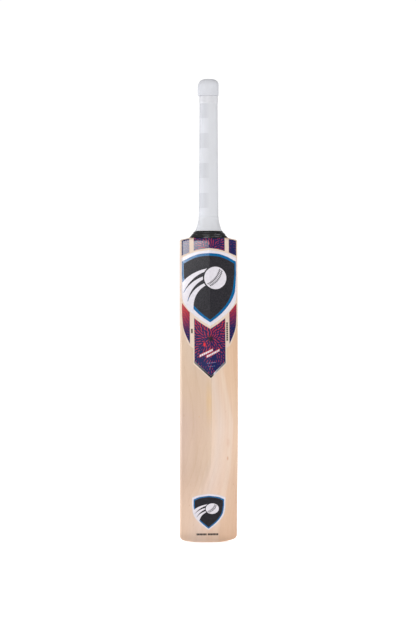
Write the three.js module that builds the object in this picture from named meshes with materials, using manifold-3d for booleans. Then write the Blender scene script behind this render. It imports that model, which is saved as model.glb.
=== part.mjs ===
// A short-handle cricket bat: a willow blade with a V splice, a laminated cane handle with
// rubber springs, a twine binding, a flared rubber grip, shoulder tape and the labels on its back.
// Millimetres, +Z up along the bat with the handle on top. The hitting face looks along +Y,
// the spine along -Y, and X runs across the blade.

import * as THREE from 'three';
import { mergeVertices } from 'three/addons/utils/BufferGeometryUtils.js';
import Module from 'manifold-3d';

const wasm = await Module();
wasm.setup();

// ---- Driving dimensions -------------------------------------------------------------------

const BAT_LENGTH = 865;
const TOUCHING_GAP = 0.3;
const PAST_THE_BAT = 90;

// Blade. Heights are above the lowest point of the toe.
const BLADE_HALF_WIDTH = 53.5;
const FACE_Y = 15.5;
const FACE_FLAT_SHARE = 0.2;
const FACE_CROWN = 2.2;
const SWELL_HEIGHT = 250;
const NECK_HEIGHT = 604;
const SPINE_THICKNESS = { toe: 23, swell: 61, neck: 30.5 };
const EDGE_THICKNESS = { toe: 19, swell: 38, neck: 21 };
const EDGE_RADIUS = 4;
const SPINE_HOLLOW = 1.18;
const RIDGE = { fadesAt: 105, sharpAt: 190 };
const ROUNDING = { start: 560, end: 585 };
const EAR_TOP = 598;

// Half-widths of the shoulders, from the blade's corner up to the tips beside the splice.
const SHOULDER = [
  [563, 53.5],
  [565.4, 51.8],
  [567.1, 43],
  [569.6, 34.2],
  [573.3, 30],
  [578.6, 25.6],
  [582, 22.9],
  [586, 20.9],
  [590, 19.3],
  [597, 17.3],
  [NECK_HEIGHT, 16.4],
];

// Toe, seen from the front.
const TOE = { flatHalf: 8, bendX: 33, cornerX: 47.5, cornerZ: 5, bendZ: 7, sideZ: 13 };

// V splice and handle.
const SPLICE_TIP = { height: 425, halfWidth: 3 };
const SPLICE_TOP_HALF_WIDTH = 15.3;
const CANE_TOP = 861;
const CANE_HALF = { neck: 15, top: 13.9 };
const OVAL = 0.96;
const SLAB_JOINTS = [-7.6, 0, 7.6];
const SPRING_THICKNESS = 1.2;
const LAYER_JOINT_Y = 5;

// Twine, grip and tape. Each is slightly flatter along Y than across X.
const FLATTER = 0.5;
const TWINE = { bottom: NECK_HEIGHT + 2, top: 855, thickness: 0.8 };
const GRIP = { bottom: 581.6, top: 857, neckHalf: 18.15, topHalf: 16.5, thickness: 1.3 };
const GRIP_FLARE = { top: 612, width: 6.6, depth: 2.6, power: 2.1 };
const GRIP_HEIGHTS = [GRIP.bottom, 584.5, 588, 592, 598, 604, GRIP_FLARE.top, 680, 760, GRIP.top];
const BAND = { bottom: 820, top: 832.6, thickness: 0.45 };
const CAP = {
  bottom: 833,
  half: 19.2,
  domeBottom: 848,
  domeHeight: 18,
  domePower: 3,
  domeShares: [0, 0.35, 0.6, 0.8, 0.93, 1],
  openingHalf: 8,
  gripRoomTop: 858,
  caneRoomTop: 862.2,
};
const TAPE = { bottom: 569, top: 581.3, thickness: 0.9 };

// Labels: films laid on the back of the blade.
const FILM_THICKNESS = 0.3;
const KEY_LINE = 2;
const CENTRE_STRIP = {
  half: 29,
  upper: { top: 566.9, bottom: 549, bottomCorner: 544 },
  lower: { corner: 417.4, notch: 398.9, notchBow: 406, taper: 339.5, tip: 312 },
};
const SIDE_STRIP = {
  inner: 37,
  outer: 51,
  upper: { topInner: 565.2, topOuter: 564, bottomInner: 541.2, bottomOuter: 535.2 },
  lower: { topInner: 428, topOuter: 444.7, straightTo: 408, bowX: 49, bowZ: 390, tip: 371 },
};
const FOIL = { half: 29.5, cornerTop: 338.5, cornerBottom: 335.5, top: 311, tip: 307.6 };
const BACKING = { columnEnd: 363, bowZ: 400, shoulderTop: 564.5, top: 567.2 };
const SHIELD = { x: 0, half: 51.5, top: 545.9, corner: 530.7, sideEnd: 458, bowX: 43, bowZ: 431, tip: 404 };
const TOE_SHIELD = {
  x: 0.8,
  half: 31.2,
  top: 88.5,
  corner: 81.5,
  sideEnd: 58,
  bowX: 29,
  bowZ: 40,
  tip: 22.6,
};

// Loft resolution.
const QUARTER = 8;
const SECTION_SIDES = 4 * QUARTER;
const CORNER_STEPS = 3;
const CURVE_STEPS = 5;
const BLADE_HEIGHTS = [-5, 40, 75, 105, 130, 160, 190, 220, 250, 290, 335, 385, 425, 470, 515, 545];
const TAPE_HEIGHTS = [TAPE.bottom, 569.6, 573.3, 578.6, TAPE.top];

// ---- Helpers --------------------------------------------------------------------------------

const mix = THREE.MathUtils.lerp;
const ease = (share) => THREE.MathUtils.smoothstep(share, 0, 1);

// A closed body whose rings at the given heights take the outline that pointAt(index, height) gives.
function loft(pointAt, heights) {
  const levels = heights.length - 1;
  const geometry = new THREE.CylinderGeometry(1, 1, 1, SECTION_SIDES, levels);
  const position = geometry.attributes.position;
  for (let i = 0; i < position.count; i++) {
    const forward = position.getX(i);
    const right = position.getZ(i);
    const height = heights[Math.round((position.getY(i) + 0.5) * levels)];
    const turns = Math.atan2(forward, right) / (2 * Math.PI);
    const index = Math.round((turns + 1) * SECTION_SIDES) % SECTION_SIDES;
    const onAxis = Math.hypot(forward, right) < 0.5;
    const point = onAxis ? new THREE.Vector2(0, 0) : pointAt(index, height);
    position.setXYZ(i, point.x, point.y, height);
  }
  return geometry;
}

function ovalLoft(halfWidthAt, halfDepthAt, heights) {
  const pointAt = (index, height) => {
    const angle = (index / SECTION_SIDES) * 2 * Math.PI;
    return new THREE.Vector2(halfWidthAt(height) * Math.cos(angle), halfDepthAt(height) * Math.sin(angle));
  };
  return loft(pointAt, heights);
}

// The front-view outline (x, z) whose right half runs up from the axis and back to it.
function mirrored(rightHalf, x = 0) {
  const right = rightHalf.getPoints(CURVE_STEPS);
  const left = right.slice(1, -1).reverse().map((point) => new THREE.Vector2(-point.x, point.y));
  return new THREE.Shape([...right, ...left].map((point) => new THREE.Vector2(point.x + x, point.y)));
}

// A front-view outline (x, z) extruded along Y from near to far.
function prism(outline, near, far) {
  const options = { depth: far - near, bevelEnabled: false, curveSegments: CURVE_STEPS };
  const geometry = new THREE.ExtrudeGeometry(outline, options);
  geometry.rotateX(Math.PI / 2);
  geometry.translate(0, far, 0);
  return geometry;
}

function block(low, high) {
  const size = high.clone().sub(low);
  const centre = low.clone().add(high).multiplyScalar(0.5);
  return new THREE.BoxGeometry(size.x, size.y, size.z).translate(centre.x, centre.y, centre.z);
}

function solid(geometry) {
  const bare = geometry.clone();
  bare.deleteAttribute('normal');
  bare.deleteAttribute('uv');
  const merged = mergeVertices(bare, 1e-4);
  const mesh = new wasm.Mesh({
    numProp: 3,
    vertProperties: new Float32Array(merged.attributes.position.array),
    triVerts: new Uint32Array(merged.index.array),
  });
  return new wasm.Manifold(mesh);
}

function geometryOf(body) {
  const mesh = body.getMesh();
  const geometry = new THREE.BufferGeometry();
  geometry.setAttribute('position', new THREE.BufferAttribute(new Float32Array(mesh.vertProperties), 3));
  geometry.setIndex(new THREE.BufferAttribute(new Uint32Array(mesh.triVerts), 1));
  geometry.computeVertexNormals();
  return geometry;
}

function material(color, roughness, metalness = 0) {
  return new THREE.MeshStandardMaterial({ color, roughness, metalness });
}

const bat = new THREE.Group();

function addPiece(name, body, look) {
  const mesh = new THREE.Mesh(geometryOf(body), look);
  mesh.name = name;
  bat.add(mesh);
}

// ---- Blade shape ----------------------------------------------------------------------------

function thicknessAt(height, sizes) {
  if (height < SWELL_HEIGHT) {
    return mix(sizes.toe, sizes.swell, ease(height / SWELL_HEIGHT));
  }
  return mix(sizes.swell, sizes.neck, ease((height - SWELL_HEIGHT) / (NECK_HEIGHT - SWELL_HEIGHT)));
}

function halfWidthAt(height) {
  const [lowest] = SHOULDER[0];
  if (height <= lowest) {
    return BLADE_HALF_WIDTH;
  }
  const above = SHOULDER.findIndex(([level]) => level >= height);
  const [lowerZ, lowerHalf] = SHOULDER[above - 1];
  const [upperZ, upperHalf] = SHOULDER[above];
  return mix(lowerHalf, upperHalf, (height - lowerZ) / (upperZ - lowerZ));
}

// The face is flat in the middle and falls away to the edges.
function faceY(share) {
  const outside = Math.max(0, (share - FACE_FLAT_SHARE) / (1 - FACE_FLAT_SHARE));
  return FACE_Y - FACE_CROWN * outside ** 2;
}

// The back rises from the edges to a sharp spine, which turns into a rounded back near the toe.
function backY(share, height) {
  const sharpness = ease((height - RIDGE.fadesAt) / (RIDGE.sharpAt - RIDGE.fadesAt));
  const hollow = (1 - share) ** SPINE_HOLLOW;
  const rounded = 1 - share ** 2;
  const edge = thicknessAt(height, EDGE_THICKNESS);
  const spine = thicknessAt(height, SPINE_THICKNESS);
  return FACE_Y - edge - (spine - edge) * mix(rounded, hollow, sharpness);
}

// Outline point of the blade, counted anticlockwise from the middle of the +X edge.
// grow moves the whole outline outwards.
function bladePoint(index, height, grow = 0) {
  const half = halfWidthAt(height) + grow;
  const side = index > QUARTER && index < 3 * QUARTER ? -1 : 1;
  const onFace = index <= 2 * QUARTER;
  const fromEdge = QUARTER - Math.abs(QUARTER - (index % (2 * QUARTER)));
  const surfaceY = (share) => (onFace ? faceY(share) + grow : backY(share, height) - grow);
  const inward = onFace ? -1 : 1;
  let x = half;
  let y = (surfaceY(1) + (onFace ? backY(1, height) : faceY(1))) / 2;
  if (fromEdge > CORNER_STEPS) {
    const share = (QUARTER - fromEdge) / (QUARTER - CORNER_STEPS);
    x = share * (half - EDGE_RADIUS);
    y = surfaceY(x / half);
  } else if (fromEdge > 0) {
    const angle = ((fromEdge - 1) / (CORNER_STEPS - 1)) * (Math.PI / 2);
    x = half - EDGE_RADIUS * (1 - Math.cos(angle));
    y = surfaceY(x / half) + inward * EDGE_RADIUS * (1 - Math.sin(angle));
  }
  const rounding = ease((height - ROUNDING.start) / (ROUNDING.end - ROUNDING.start));
  const turn = (index / SECTION_SIDES) * 2 * Math.PI;
  const ovalX = half * Math.cos(turn);
  const ovalY = (CANE_HALF.neck * OVAL + grow) * Math.sin(turn);
  return new THREE.Vector2(mix(side * x, ovalX, rounding), mix(y, ovalY, rounding));
}

const bladeHeights = [...BLADE_HEIGHTS, ...SHOULDER.map(([height]) => height)];
const blankGeometry = loft(bladePoint, bladeHeights);
const blank = solid(blankGeometry);

// The blade's front outline: the toe's curve and corners, with room above for the shoulders.
function bladeFront() {
  const clear = BLADE_HALF_WIDTH + 1;
  const right = new THREE.Path();
  right.moveTo(0, 0);
  right.lineTo(TOE.flatHalf, 0);
  right.quadraticCurveTo(TOE.bendX, 0, TOE.cornerX, TOE.cornerZ);
  right.quadraticCurveTo(BLADE_HALF_WIDTH, TOE.bendZ, BLADE_HALF_WIDTH, TOE.sideZ);
  right.lineTo(clear, TOE.sideZ + 1);
  right.lineTo(clear, EAR_TOP);
  right.lineTo(0, EAR_TOP);
  return mirrored(right);
}

// The V of the splice, inset by a gap so that the same wedge cuts the blade and shapes the handle.
function spliceWedge(inset) {
  const outline = new THREE.Shape();
  const tip = SPLICE_TIP.halfWidth - inset;
  const top = SPLICE_TOP_HALF_WIDTH - inset;
  outline.moveTo(-tip, SPLICE_TIP.height + inset);
  outline.lineTo(tip, SPLICE_TIP.height + inset);
  outline.lineTo(top, NECK_HEIGHT);
  outline.lineTo(-top, NECK_HEIGHT);
  outline.closePath();
  return solid(prism(outline, -PAST_THE_BAT, PAST_THE_BAT));
}

const bladeOutline = solid(prism(bladeFront(), -PAST_THE_BAT, PAST_THE_BAT));
const blade = blank.intersect(bladeOutline).subtract(spliceWedge(0));
addPiece('blade', blade, material(0xdfc2a4, 0.55));

// ---- Cane handle ------------------------------------------------------------------------------

function caneHalfAt(height) {
  return mix(CANE_HALF.neck, CANE_HALF.top, (height - NECK_HEIGHT) / (CANE_TOP - NECK_HEIGHT));
}

const shaftHeights = [NECK_HEIGHT - 4, CANE_TOP];
const shaft = solid(ovalLoft(caneHalfAt, (height) => caneHalfAt(height) * OVAL, shaftHeights));
const handle = blank.intersect(spliceWedge(TOUCHING_GAP)).add(shaft);
const caneLook = material(0xd8b980, 0.6);
const springLook = material(0x2b2624, 0.85);

// Four slabs across the handle, each glued up from three strips.
const springRoom = SPRING_THICKNESS / 2 + TOUCHING_GAP;
const slabEdges = [-PAST_THE_BAT, ...SLAB_JOINTS, PAST_THE_BAT];
const layerEdges = [-PAST_THE_BAT, -LAYER_JOINT_Y, LAYER_JOINT_Y, PAST_THE_BAT];
for (let slab = 0; slab < slabEdges.length - 1; slab++) {
  for (let layer = 0; layer < layerEdges.length - 1; layer++) {
    const low = new THREE.Vector3(slabEdges[slab] + springRoom, layerEdges[layer] + TOUCHING_GAP / 2, 0);
    const high = new THREE.Vector3(
      slabEdges[slab + 1] - springRoom,
      layerEdges[layer + 1] - TOUCHING_GAP / 2,
      BAT_LENGTH,
    );
    const name = `cane_strip_${'abcd'[slab]}${layer + 1}`;
    addPiece(name, handle.intersect(solid(block(low, high))), caneLook);
  }
}

// Rubber springs glued between the slabs.
const springNames = ['rubber_spring_left', 'rubber_spring_middle', 'rubber_spring_right'];
springNames.forEach((name, i) => {
  const low = new THREE.Vector3(SLAB_JOINTS[i] - SPRING_THICKNESS / 2, -PAST_THE_BAT, 0);
  const high = new THREE.Vector3(SLAB_JOINTS[i] + SPRING_THICKNESS / 2, PAST_THE_BAT, BAT_LENGTH);
  addPiece(name, handle.intersect(solid(block(low, high))), springLook);
});

// ---- Twine, grip, band, cap and tape ------------------------------------------------------------

// An oval tube through the given heights, of the given outer half-width and half-depth.
function sleeve(halfAt, depthAt, thickness, heights) {
  const outer = solid(ovalLoft(halfAt, depthAt, heights));
  const past = [heights[0] - 1, ...heights.slice(1, -1), heights.at(-1) + 1];
  const inner = ovalLoft((z) => halfAt(z) - thickness, (z) => depthAt(z) - thickness, past);
  return outer.subtract(solid(inner));
}

const overCane = TOUCHING_GAP + TWINE.thickness;
const twine = sleeve(
  (z) => caneHalfAt(z) + overCane,
  (z) => caneHalfAt(z) * OVAL + overCane,
  TWINE.thickness,
  [TWINE.bottom, TWINE.top],
);
addPiece('twine_binding', twine, material(0xb79a6c, 0.9));

// The grip widens from top to neck, then flares out over the shoulders.
function flareAt(z) {
  const share = (GRIP_FLARE.top - z) / (GRIP_FLARE.top - GRIP.bottom);
  return Math.max(0, share) ** GRIP_FLARE.power;
}
function gripTubeAt(z) {
  const share = (z - GRIP_FLARE.top) / (GRIP.top - GRIP_FLARE.top);
  return mix(GRIP.neckHalf, GRIP.topHalf, share);
}
const gripHalfAt = (z) => gripTubeAt(z) + GRIP_FLARE.width * flareAt(z);
const gripDepthAt = (z) => gripTubeAt(z) - FLATTER + GRIP_FLARE.depth * flareAt(z);
addPiece('grip', sleeve(gripHalfAt, gripDepthAt, GRIP.thickness, GRIP_HEIGHTS), material(0xd9dadf, 0.7));

const overGrip = TOUCHING_GAP + BAND.thickness;
const band = sleeve(
  (z) => gripHalfAt(z) + overGrip,
  (z) => gripDepthAt(z) + overGrip,
  BAND.thickness,
  [BAND.bottom, BAND.top],
);
addPiece('grip_end_band', band, material(0xe3d8dc, 0.35));

// The end cap is a thick cup, domed at the top, with a round opening over the cane's end.
function capHalfAt(z) {
  const share = Math.max(0, z - CAP.domeBottom) / CAP.domeHeight;
  return CAP.half * (1 - share ** CAP.domePower) ** (1 / CAP.domePower);
}
const domeHeights = CAP.domeShares.map((share) => mix(CAP.domeBottom, BAT_LENGTH, share));
const capOuter = solid(ovalLoft(capHalfAt, (z) => capHalfAt(z) - FLATTER, [CAP.bottom, ...domeHeights]));
const capRoom = ovalLoft(
  (z) => gripHalfAt(z) + TOUCHING_GAP,
  (z) => gripDepthAt(z) + TOUCHING_GAP,
  [CAP.bottom - 1, CAP.gripRoomTop],
);
const capCaneRoom = ovalLoft(
  (z) => caneHalfAt(z) + TOUCHING_GAP,
  (z) => caneHalfAt(z) * OVAL + TOUCHING_GAP,
  [CAP.gripRoomTop - 1, CAP.caneRoomTop],
);
const capOpening = ovalLoft(
  () => CAP.openingHalf,
  () => CAP.openingHalf,
  [CAP.caneRoomTop - 1, BAT_LENGTH + 1],
);
const capInside = [capRoom, capCaneRoom, capOpening].map(solid);
const cap = capInside.reduce((rest, room) => rest.subtract(room), capOuter);
addPiece('grip_end_cap', cap, material(0xdcdde2, 0.65));

// Tape wound round the shoulders, between the labels and the grip.
const tapeRoomHeights = [TAPE.bottom - 1, ...TAPE_HEIGHTS.slice(0, -1), TAPE.top + 1];
const tapeOuter = loft((index, z) => bladePoint(index, z, TOUCHING_GAP + TAPE.thickness), TAPE_HEIGHTS);
const tapeRoom = loft((index, z) => bladePoint(index, z, TOUCHING_GAP), tapeRoomHeights);
addPiece('shoulder_tape', solid(tapeOuter).subtract(solid(tapeRoom)), material(0x2b292c, 0.35));

// ---- Labels -------------------------------------------------------------------------------------

// A film of the given front outline, lifted off the back of the blade by lift.
function film(outline, lift) {
  const top = solid(blankGeometry.clone().translate(0, -lift - FILM_THICKNESS, 0));
  const under = solid(blankGeometry.clone().translate(0, -lift, 0));
  const backHalf = prism(outline, -PAST_THE_BAT, FACE_Y - EDGE_RADIUS * 2);
  return top.intersect(solid(backHalf)).subtract(under);
}

function shieldShape(shield) {
  const right = new THREE.Path();
  right.moveTo(0, shield.tip);
  right.quadraticCurveTo(shield.bowX, shield.bowZ, shield.half, shield.sideEnd);
  right.lineTo(shield.half, shield.corner);
  right.quadraticCurveTo(shield.half / 2, shield.top, 0, shield.top);
  return mirrored(right, shield.x);
}

// The backing shows as a key line round every strip and as the columns between them.
function backingShape() {
  const column = CENTRE_STRIP.half + KEY_LINE;
  const side = SIDE_STRIP.outer + KEY_LINE / 2;
  const right = new THREE.Path();
  right.moveTo(0, FOIL.tip - KEY_LINE);
  right.lineTo(column, FOIL.cornerBottom - KEY_LINE);
  right.lineTo(column, BACKING.columnEnd);
  right.lineTo(SIDE_STRIP.inner + KEY_LINE, SIDE_STRIP.lower.tip - KEY_LINE);
  right.quadraticCurveTo(side, BACKING.bowZ, side, SIDE_STRIP.lower.topOuter);
  right.lineTo(side, BACKING.shoulderTop);
  right.lineTo(SIDE_STRIP.inner, BACKING.top - 1);
  right.lineTo(0, BACKING.top);
  return mirrored(right);
}

function upperCentreShape() {
  const { top, bottom, bottomCorner } = CENTRE_STRIP.upper;
  const right = new THREE.Path();
  right.moveTo(0, bottom);
  right.quadraticCurveTo(CENTRE_STRIP.half / 2, bottom, CENTRE_STRIP.half, bottomCorner);
  right.lineTo(CENTRE_STRIP.half, top - 1);
  right.lineTo(0, top);
  return mirrored(right);
}

function lowerCentreShape() {
  const { corner, notch, notchBow, taper, tip } = CENTRE_STRIP.lower;
  const right = new THREE.Path();
  right.moveTo(0, tip);
  right.lineTo(CENTRE_STRIP.half, taper);
  right.lineTo(CENTRE_STRIP.half, corner);
  right.quadraticCurveTo(CENTRE_STRIP.half / 2, notchBow, 0, notch);
  return mirrored(right);
}

function foilShape() {
  const right = new THREE.Path();
  right.moveTo(0, FOIL.tip);
  right.lineTo(FOIL.half, FOIL.cornerBottom);
  right.lineTo(CENTRE_STRIP.half, FOIL.cornerTop);
  right.lineTo(0, FOIL.top);
  return mirrored(right);
}

function upperSideShape(side) {
  const { topInner, topOuter, bottomInner, bottomOuter } = SIDE_STRIP.upper;
  const outline = new THREE.Shape();
  outline.moveTo(side * SIDE_STRIP.inner, bottomInner);
  outline.lineTo(side * SIDE_STRIP.outer, bottomOuter);
  outline.lineTo(side * SIDE_STRIP.outer, topOuter);
  outline.lineTo(side * SIDE_STRIP.inner, topInner);
  outline.closePath();
  return outline;
}

function lowerSideShape(side) {
  const { topInner, topOuter, straightTo, bowX, bowZ, tip } = SIDE_STRIP.lower;
  const outline = new THREE.Shape();
  outline.moveTo(side * SIDE_STRIP.inner, tip);
  outline.quadraticCurveTo(side * bowX, bowZ, side * SIDE_STRIP.outer, straightTo);
  outline.lineTo(side * SIDE_STRIP.outer, topOuter);
  outline.lineTo(side * SIDE_STRIP.inner, topInner);
  outline.closePath();
  return outline;
}

const onWood = TOUCHING_GAP;
const onBacking = onWood + FILM_THICKNESS + TOUCHING_GAP;
const printLook = material(0x5a3050, 0.35);
const shieldLook = material(0xe8e4ea, 0.35);

addPiece('label_backing', film(backingShape(), onWood), material(0xeed6bd, 0.5));
addPiece('centre_strip_upper', film(upperCentreShape(), onBacking), printLook);
addPiece('centre_strip_lower', film(lowerCentreShape(), onBacking), printLook);
[['left', -1], ['right', 1]].forEach(([name, side]) => {
  addPiece(`side_strip_${name}_upper`, film(upperSideShape(side), onBacking), printLook);
  addPiece(`side_strip_${name}_lower`, film(lowerSideShape(side), onBacking), printLook);
});
addPiece('strip_foil_edge', film(foilShape(), onBacking), material(0x3a3a3c, 0.3, 0.6));
addPiece('shield_label', film(shieldShape(SHIELD), onBacking), shieldLook);
addPiece('toe_shield_label', film(shieldShape(TOE_SHIELD), onWood), shieldLook);

// The origin is the middle of the bat's footprint on the ground, so the bat moves along Y from
// the handle's axis to the middle between the spine and the grip's foot.
const spineDepth = SPINE_THICKNESS.swell - FACE_Y;
bat.position.y = (spineDepth - gripDepthAt(GRIP.bottom)) / 2;

export default bat;
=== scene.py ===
"""The looks of a cricket bat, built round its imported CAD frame: willow blade, cane handle,
ribbed rubber grip, wound shoulder tape and printed labels. Shapes are in millimetres until
a mesh is made, with Z up the bat, X across it, -Y out of the spine and the handle's axis at
Y = 0. Looks are in metres."""

import math

import bmesh
import bpy
import numpy as np
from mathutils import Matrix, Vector


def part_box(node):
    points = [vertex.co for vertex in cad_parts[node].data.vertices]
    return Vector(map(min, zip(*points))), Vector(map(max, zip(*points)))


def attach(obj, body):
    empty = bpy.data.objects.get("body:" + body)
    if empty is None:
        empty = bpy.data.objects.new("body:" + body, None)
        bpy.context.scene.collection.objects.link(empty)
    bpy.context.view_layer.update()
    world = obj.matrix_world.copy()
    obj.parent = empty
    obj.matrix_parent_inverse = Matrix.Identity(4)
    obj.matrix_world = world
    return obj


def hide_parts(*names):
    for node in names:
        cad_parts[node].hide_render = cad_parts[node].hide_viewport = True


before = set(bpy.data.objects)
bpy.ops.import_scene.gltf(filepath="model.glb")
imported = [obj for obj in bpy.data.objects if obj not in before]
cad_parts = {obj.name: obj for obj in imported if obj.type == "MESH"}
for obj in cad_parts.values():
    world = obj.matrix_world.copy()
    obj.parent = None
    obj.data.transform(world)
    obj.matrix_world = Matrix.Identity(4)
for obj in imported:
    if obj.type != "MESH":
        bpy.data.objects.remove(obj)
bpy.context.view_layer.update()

MM = 0.001

# ---- Sizes, repeated from the CAD source ----

BAT_LENGTH = 865.0
HALF_WIDTH = 53.5
FACE_Y = 15.5
FACE_FLAT_SHARE = 0.2
FACE_CROWN = 2.2
SWELL_Z = 250.0
NECK_Z = 604.0
SPINE_THICKNESS = (23.0, 61.0, 30.5)
EDGE_THICKNESS = (19.0, 38.0, 21.0)
EDGE_RADIUS = 4.0
SPINE_HOLLOW = 1.18
RIDGE_FADES_AT = 105.0
RIDGE_SHARP_AT = 190.0
ROUNDING = (560.0, 585.0)
EAR_TOP = 598.0
SHOULDER = np.array([
    (563.0, 53.5), (565.4, 51.8), (567.1, 43.0), (569.6, 34.2), (573.3, 30.0), (578.6, 25.6),
    (582.0, 22.9), (586.0, 20.9), (590.0, 19.3), (597.0, 17.3), (604.0, 16.4),
])
NECK_OVAL_Y = 14.4
SPLICE_TIP = (425.0, 3.0)
SPLICE_TOP_HALF = 15.3

FLATTER = 0.5
GRIP_BOTTOM = 581.6
GRIP_TOP = 857.0
GRIP_NECK_HALF = 18.15
GRIP_TOP_HALF = 16.5
GRIP_THICKNESS = 1.3
FLARE_TOP = 612.0
FLARE_WIDTH = 6.6
FLARE_DEPTH = 2.6
CAP_DOME_BOTTOM = 848.0
CAP_DOME_HEIGHT = 18.0
CAP_DOME_POWER = 3.0
CAP_OPENING_HALF = 8.0
CAP_ROOM_TOP = 858.0

CENTRE_HALF = 29.0
SIDE_INNER = 37.0
SIDE_OUTER = 51.0
KEY_LINE = 2.0

# ---- Sizes that fit the real bat a little closer than the CAD's ----

FLARE_POWER = 1.85
BAND_Z = (819.6, 834.1)
CAP_BOTTOM = 834.5
CAP_HALF = 19.5
CAP_LEAN = -0.8
TAPE_BOTTOM = 567.7
TAPE_SAG = 1.7
TAPE_TOP = 581.4

# Where the handle's axis lies along Y in the frame.
AXIS_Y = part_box("blade")[1].y / MM - FACE_Y


# ---- Mesh helpers ----


def ease(share):
    t = np.clip(share, 0.0, 1.0)
    return t * t * (3 - 2 * t)


def mix(a, b, share):
    return a + (b - a) * share


def turns(columns):
    """One row of evenly spaced angles round a ring."""
    return np.linspace(0, 2 * math.pi, columns, endpoint=False)[None, :]


def add_object(name, data):
    made = bpy.data.objects.new(name, data)
    bpy.context.scene.collection.objects.link(made)
    return made


def new_object(name, mesh, material, replaces=None):
    """A piece of the visual model, and the CAD node that it replaces, if there is one."""
    piece = add_object(name, mesh)
    mesh.materials.append(material)
    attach(piece, "root")
    if replaces:
        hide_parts(replaces)
    return piece


def make_mesh(name, points, faces, crease_deg=30.0):
    """A smooth-shaded closed mesh from points in millimetres, welded, with outward faces."""
    mesh = bpy.data.meshes.new(name)
    placed = (np.asarray(points, float).reshape(-1, 3) + (0, AXIS_Y, 0)) * MM
    mesh.from_pydata([tuple(p) for p in placed], [], [tuple(f) for f in faces])
    made = bmesh.new()
    made.from_mesh(mesh)
    bmesh.ops.remove_doubles(made, verts=made.verts, dist=2e-6)
    bmesh.ops.dissolve_degenerate(made, edges=made.edges, dist=1e-6)
    bmesh.ops.recalc_face_normals(made, faces=made.faces)
    made.to_mesh(mesh)
    made.free()
    mesh.shade_smooth()
    mesh.set_sharp_from_angle(angle=math.radians(crease_deg))
    return mesh


def grid_faces(rows, columns, wrap, start=0, flip=False):
    faces = []
    for row in range(rows - 1):
        for column in range(columns if wrap else columns - 1):
            a = start + row * columns + column
            b = start + row * columns + (column + 1) % columns
            corners = (a, b, b + columns, a + columns)
            faces.append(corners[::-1] if flip else corners)
    return faces


def shell_parts(outer, inner, wrap):
    """Points and faces of a closed skin between two grids of points, shaped (rows, columns, 3)."""
    rows, columns, _ = outer.shape
    count = rows * columns
    faces = grid_faces(rows, columns, wrap) + grid_faces(rows, columns, wrap, count, True)
    top = (rows - 1) * columns
    for column in range(columns if wrap else columns - 1):
        right = (column + 1) % columns
        faces.append((right, column, count + column, count + right))
        faces.append((top + column, top + right, count + top + right, count + top + column))
    if not wrap:
        for row in range(rows - 1):
            a, b = row * columns, (row + 1) * columns
            c, d = a + columns - 1, b + columns - 1
            faces.append((a, b, count + b, count + a))
            faces.append((d, c, count + c, count + d))
    return np.concatenate([outer.reshape(-1, 3), inner.reshape(-1, 3)]), faces


def new_tube(name, outer, inner, crease_deg, look, replaces):
    """A tube-shaped piece between an outer and an inner wall."""
    points, faces = shell_parts(outer, inner, True)
    new_object(name, make_mesh(name, points, faces, crease_deg), look, replaces)


def closed_loft(name, rings):
    """A closed body through rings of points, (rows, columns, 3), whose end rings shrink to a point."""
    rows, columns, _ = rings.shape
    ends = np.array([rings[0].mean(0), rings[-1].mean(0)])
    points = np.concatenate([rings.reshape(-1, 3), ends])
    faces = grid_faces(rows, columns, True)
    low, high = rows * columns, rows * columns + 1
    top = (rows - 1) * columns
    for column in range(columns):
        right = (column + 1) % columns
        faces.append((right, column, low))
        faces.append((top + column, top + right, high))
    return make_mesh(name, points, faces)


# ---- Blade surface ----


def thickness(z, sizes):
    toe, swell, neck = sizes
    below = mix(toe, swell, ease(z / SWELL_Z))
    above = mix(swell, neck, ease((z - SWELL_Z) / (NECK_Z - SWELL_Z)))
    return np.where(z < SWELL_Z, below, above)


def half_width(z):
    return np.interp(z, SHOULDER[:, 0], SHOULDER[:, 1])


def face_y(share):
    outside = np.maximum(0, (share - FACE_FLAT_SHARE) / (1 - FACE_FLAT_SHARE))
    return FACE_Y - FACE_CROWN * outside**2


def back_y(share, z):
    sharpness = ease((z - RIDGE_FADES_AT) / (RIDGE_SHARP_AT - RIDGE_FADES_AT))
    share = np.clip(share, 0, 1)
    hollow = (1 - share) ** SPINE_HOLLOW
    rounded = 1 - share**2
    edge = thickness(z, EDGE_THICKNESS)
    spine = thickness(z, SPINE_THICKNESS)
    return FACE_Y - edge - (spine - edge) * mix(rounded, hollow, sharpness)


# Points in a quarter of the blade's outline, and the steps of its rounded edges.
QUARTER = 26
RING_COLUMNS = 4 * QUARTER
CORNER_STEPS = 7


def rounding(z):
    """0 where the blade has its own section and 1 where its shoulders are a round neck."""
    return ease((z - ROUNDING[0]) / (ROUNDING[1] - ROUNDING[0]))


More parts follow.
